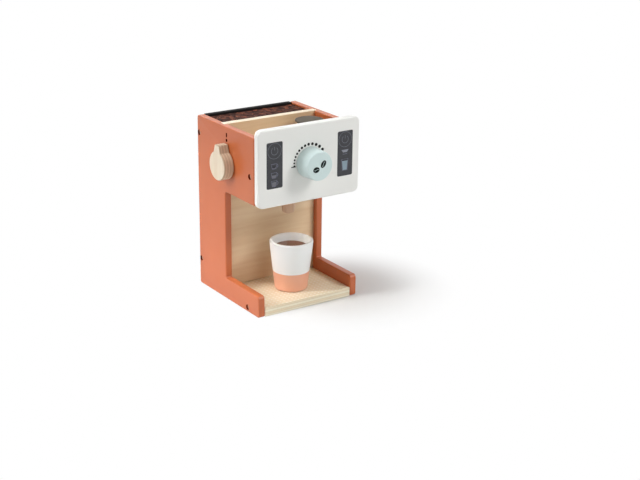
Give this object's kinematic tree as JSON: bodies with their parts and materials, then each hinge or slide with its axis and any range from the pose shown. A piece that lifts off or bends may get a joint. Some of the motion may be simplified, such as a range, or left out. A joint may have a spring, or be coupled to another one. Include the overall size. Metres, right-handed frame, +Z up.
{
  "type": "toy coffee maker",
  "caption": "Wooden toy coffee maker with a turning front knob, a side steam knob, a loose pod in the open top and a cup on the tray below the spout.",
  "frame": {"origin": "middle of the side panels' footprint, on the surface that the toy stands on", "axes": "+Z up, -Y to the front with the fascia, +X to the right of someone facing the front"},
  "size_m": [0.1745, 0.1825, 0.2565],
  "materials": {
    "terracotta_paint": "satin terracotta paint on wood",
    "white_paint": "satin white paint with dark printed panels",
    "mint_paint": "satin mint paint with two small printed beans",
    "natural_wood": "clear matt varnish",
    "tray_plywood": "birch plywood with a faint printed dot grid",
    "knob_plywood": "clear matt varnish on plywood",
    "bean_print": "printed with coffee beans",
    "black_paint": "matt black paint",
    "pod_grey": "satin dark grey paint",
    "cup_paint": "white paint with a salmon foot",
    "coffee_paint": "brown paint",
    "black_steel": "black oxide",
    "washer_steel": "plain zinc finish"
  },
  "bodies": {
    "machine": {"left_side_panel": "terracotta_paint", "right_side_panel": "terracotta_paint", "fascia": "white_paint", "base_board": "tray_plywood", "centre_board": "natural_wood", "back_panel": "black_paint", "bean_plate": "bean_print", "pod_floor": "natural_wood", "underside_plate": "natural_wood", "front_rail": "natural_wood", "spout": "natural_wood", "spout_screw": "black_steel", "fascia_screw_left": "black_steel", "fascia_screw_right": "black_steel", "brew_knob_washer": "washer_steel", "steam_knob_washer": "washer_steel", "bolt_left_back_top": "black_steel", "bolt_left_back_low": "black_steel", "bolt_left_rail": "black_steel", "bolt_left_base": "black_steel", "bolt_right_back_top": "black_steel", "bolt_right_back_low": "black_steel", "bolt_right_rail": "black_steel", "bolt_right_base": "black_steel"},
    "brew_knob": {"brew_knob": "mint_paint", "brew_knob_screw": "black_steel"},
    "steam_knob": {"steam_knob": "knob_plywood", "steam_knob_screw": "black_steel"},
    "coffee_pod": {"coffee_pod": "pod_grey"},
    "cup": {"cup": "cup_paint", "cup_coffee": "coffee_paint"}
  },
  "joints": [
    {"name": "brew_turn", "type": "hinge", "parent": "machine", "child": "brew_knob", "pos_m": [0, -0.0795, 0.2045], "axis": [0, -1, 0], "continuous": true},
    {"name": "steam_turn", "type": "hinge", "parent": "machine", "child": "steam_knob", "pos_m": [-0.08, 0, 0.194], "axis": [-1, 0, 0], "continuous": true},
    {"name": "pod_lift", "type": "slide", "parent": "machine", "child": "coffee_pod", "axis": [0, 0, 1], "range_m": [0, 0.06]},
    {"name": "cup_out", "type": "slide", "parent": "machine", "child": "cup", "axis": [0, -1, 0], "range_m": [0, 0.12]}
  ]
}
